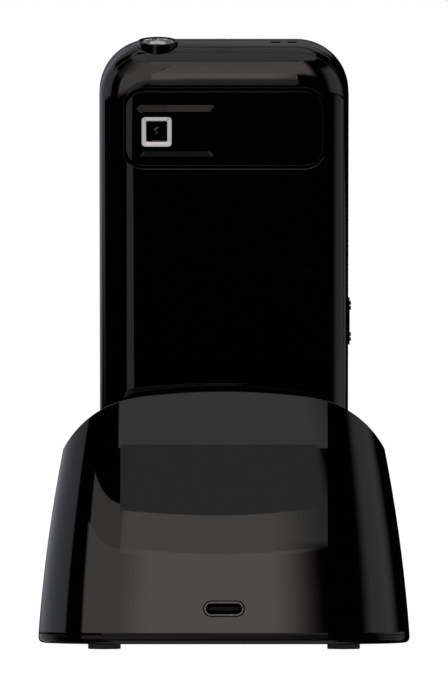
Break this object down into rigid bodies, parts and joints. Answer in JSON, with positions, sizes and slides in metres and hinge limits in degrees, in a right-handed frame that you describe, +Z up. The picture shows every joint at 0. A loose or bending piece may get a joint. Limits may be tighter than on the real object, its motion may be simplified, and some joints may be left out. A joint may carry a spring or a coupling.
{
  "type": "slider phone in a charging cradle",
  "caption": "Slider phone with a rear camera, a torch and a sliding keypad, standing tilted back in a tall charging cradle with a rear socket.",
  "frame": {"origin": "centre of the bottom of the bounding box, in the plane that the four feet stand on", "axes": "+Z up; the screen faces -Y and the rear of phone and cradle faces +Y; +X is to the right seen from the screen side"},
  "size_m": [0.0852, 0.07, 0.1404],
  "materials": {
    "cradle_gloss": "high gloss",
    "pocket_black": "fine matte",
    "base_black": "semi gloss",
    "foot_rubber": "matte",
    "steel": "brushed",
    "circuit_board": "solder mask",
    "dark_plastic": "matte",
    "ballast_steel": "raw",
    "gold_contact": "polished",
    "cover_gloss": "high gloss",
    "chrome_trim": "mirror",
    "lens_glass": "clear",
    "band_black": "gloss",
    "torch_glass": "clear",
    "deck_black": "fine matte",
    "membrane_rubber": "translucent matte",
    "battery_wrap": "wrapped",
    "flex_amber": "polyimide",
    "front_gloss": "high gloss",
    "screen_glass": "dark",
    "call_green": "satin",
    "end_red": "satin",
    "key_silver": "satin",
    "key_black": "soft touch"
  },
  "bodies": {
    "cradle": {"cradle_shell": "cradle_gloss", "cradle_pocket": "pocket_black", "cradle_base": "base_black", "cradle_feet": "foot_rubber", "cradle_screws": "steel", "cradle_board": "circuit_board", "usb_c_socket": "steel", "usb_c_tongue": "dark_plastic", "cradle_weight": "ballast_steel", "pin_block": "dark_plastic"},
    "phone": {"battery": "battery_wrap", "battery_contacts": "gold_contact", "camera_frame": "chrome_trim", "camera_island": "cover_gloss", "camera_module": "dark_plastic", "camera_panel": "cover_gloss", "camera_window": "lens_glass", "charge_pads": "gold_contact", "chassis_screws": "steel", "flex_cable": "flex_amber", "keypad_deck": "deck_black", "keypad_membrane": "membrane_rubber", "loudspeaker": "dark_plastic", "main_board": "circuit_board", "rear_chassis": "band_black", "rear_cover": "cover_gloss", "shield_cans": "steel", "sim_holder": "steel", "slide_guide": "steel", "torch_bezel": "band_black", "torch_led": "chrome_trim", "torch_lens": "torch_glass", "vibration_motor": "steel"},
    "slider": {"front_frame": "front_gloss", "slide_plate": "steel", "display_panel": "dark_plastic", "display_window": "screen_glass", "earpiece": "dark_plastic", "earpiece_grille": "chrome_trim", "front_board": "circuit_board", "front_screws": "steel"},
    "call_key": {"call_key": "call_green"},
    "end_key": {"end_key": "end_red"},
    "nav_key": {"nav_key": "key_silver"},
    "ok_key": {"ok_key": "key_black"},
    "key_1": {"key_1": "key_black"},
    "key_2": {"key_2": "key_black"},
    "key_3": {"key_3": "key_black"},
    "key_4": {"key_4": "key_black"},
    "key_5": {"key_5": "key_black"},
    "key_6": {"key_6": "key_black"},
    "key_7": {"key_7": "key_black"},
    "key_8": {"key_8": "key_black"},
    "key_9": {"key_9": "key_black"},
    "key_star": {"key_star": "key_black"},
    "key_0": {"key_0": "key_black"},
    "key_hash": {"key_hash": "key_black"},
    "charge_pin_left": {"charge_pin_left": "gold_contact"},
    "charge_pin_right": {"charge_pin_right": "gold_contact"},
    "volume_rocker": {"volume_rocker": "band_black"}
  },
  "joints": [
    {"name": "phone_lift", "type": "slide", "parent": "cradle", "child": "phone", "axis": [0, 0.225, 0.9744], "range_m": [0, 0.05]},
    {"name": "slide_open", "type": "slide", "parent": "phone", "child": "slider", "axis": [0, 0.225, 0.9744], "range_m": [0, 0.044], "deforming": ["flex_cable"]},
    {"name": "volume_rocker_tilt", "type": "hinge", "parent": "phone", "child": "volume_rocker", "pos_m": [-0.0265, 0.00932, 0.07519], "axis": [0, 0.9744, -0.225], "range_deg": [-2, 2], "stiffness_Nm_per_rad": 0.14},
    {"name": "key_1_press", "type": "slide", "parent": "phone", "child": "key_1", "axis": [0, 0.9744, -0.225], "range_m": [0, 0.00035], "stiffness_N_per_m": 800},
    {"name": "key_2_press", "type": "slide", "parent": "phone", "child": "key_2", "axis": [0, 0.9744, -0.225], "range_m": [0, 0.00035], "stiffness_N_per_m": 800},
    {"name": "key_3_press", "type": "slide", "parent": "phone", "child": "key_3", "axis": [0, 0.9744, -0.225], "range_m": [0, 0.00035], "stiffness_N_per_m": 800},
    {"name": "key_4_press", "type": "slide", "parent": "phone", "child": "key_4", "axis": [0, 0.9744, -0.225], "range_m": [0, 0.00035], "stiffness_N_per_m": 800},
    {"name": "key_5_press", "type": "slide", "parent": "phone", "child": "key_5", "axis": [0, 0.9744, -0.225], "range_m": [0, 0.00035], "stiffness_N_per_m": 800},
    {"name": "key_6_press", "type": "slide", "parent": "phone", "child": "key_6", "axis": [0, 0.9744, -0.225], "range_m": [0, 0.00035], "stiffness_N_per_m": 800},
    {"name": "key_7_press", "type": "slide", "parent": "phone", "child": "key_7", "axis": [0, 0.9744, -0.225], "range_m": [0, 0.00035], "stiffness_N_per_m": 800},
    {"name": "key_8_press", "type": "slide", "parent": "phone", "child": "key_8", "axis": [0, 0.9744, -0.225], "range_m": [0, 0.00035], "stiffness_N_per_m": 800},
    {"name": "key_9_press", "type": "slide", "parent": "phone", "child": "key_9", "axis": [0, 0.9744, -0.225], "range_m": [0, 0.00035], "stiffness_N_per_m": 800},
    {"name": "key_star_press", "type": "slide", "parent": "phone", "child": "key_star", "axis": [0, 0.9744, -0.225], "range_m": [0, 0.00035], "stiffness_N_per_m": 800},
    {"name": "key_0_press", "type": "slide", "parent": "phone", "child": "key_0", "axis": [0, 0.9744, -0.225], "range_m": [0, 0.00035], "stiffness_N_per_m": 800},
    {"name": "key_hash_press", "type": "slide", "parent": "phone", "child": "key_hash", "axis": [0, 0.9744, -0.225], "range_m": [0, 0.00035], "stiffness_N_per_m": 800},
    {"name": "call_key_press", "type": "slide", "parent": "slider", "child": "call_key", "axis": [0, 0.9744, -0.225], "range_m": [0, 0.00035], "stiffness_N_per_m": 800},
    {"name": "end_key_press", "type": "slide", "parent": "slider", "child": "end_key", "axis": [0, 0.9744, -0.225], "range_m": [0, 0.00035], "stiffness_N_per_m": 800},
    {"name": "nav_key_press", "type": "slide", "parent": "slider", "child": "nav_key", "axis": [0, 0.9744, -0.225], "range_m": [0, 0.00035], "stiffness_N_per_m": 800},
    {"name": "ok_key_press", "type": "slide", "parent": "slider", "child": "ok_key", "axis": [0, 0.9744, -0.225], "range_m": [0, 0.00035], "stiffness_N_per_m": 800},
    {"name": "charge_pin_left_press", "type": "slide", "parent": "cradle", "child": "charge_pin_left", "axis": [0, -0.225, -0.9744], "range_m": [0, 0.0006], "stiffness_N_per_m": 800},
    {"name": "charge_pin_right_press", "type": "slide", "parent": "cradle", "child": "charge_pin_right", "axis": [0, -0.225, -0.9744], "range_m": [0, 0.0006], "stiffness_N_per_m": 800}
  ]
}
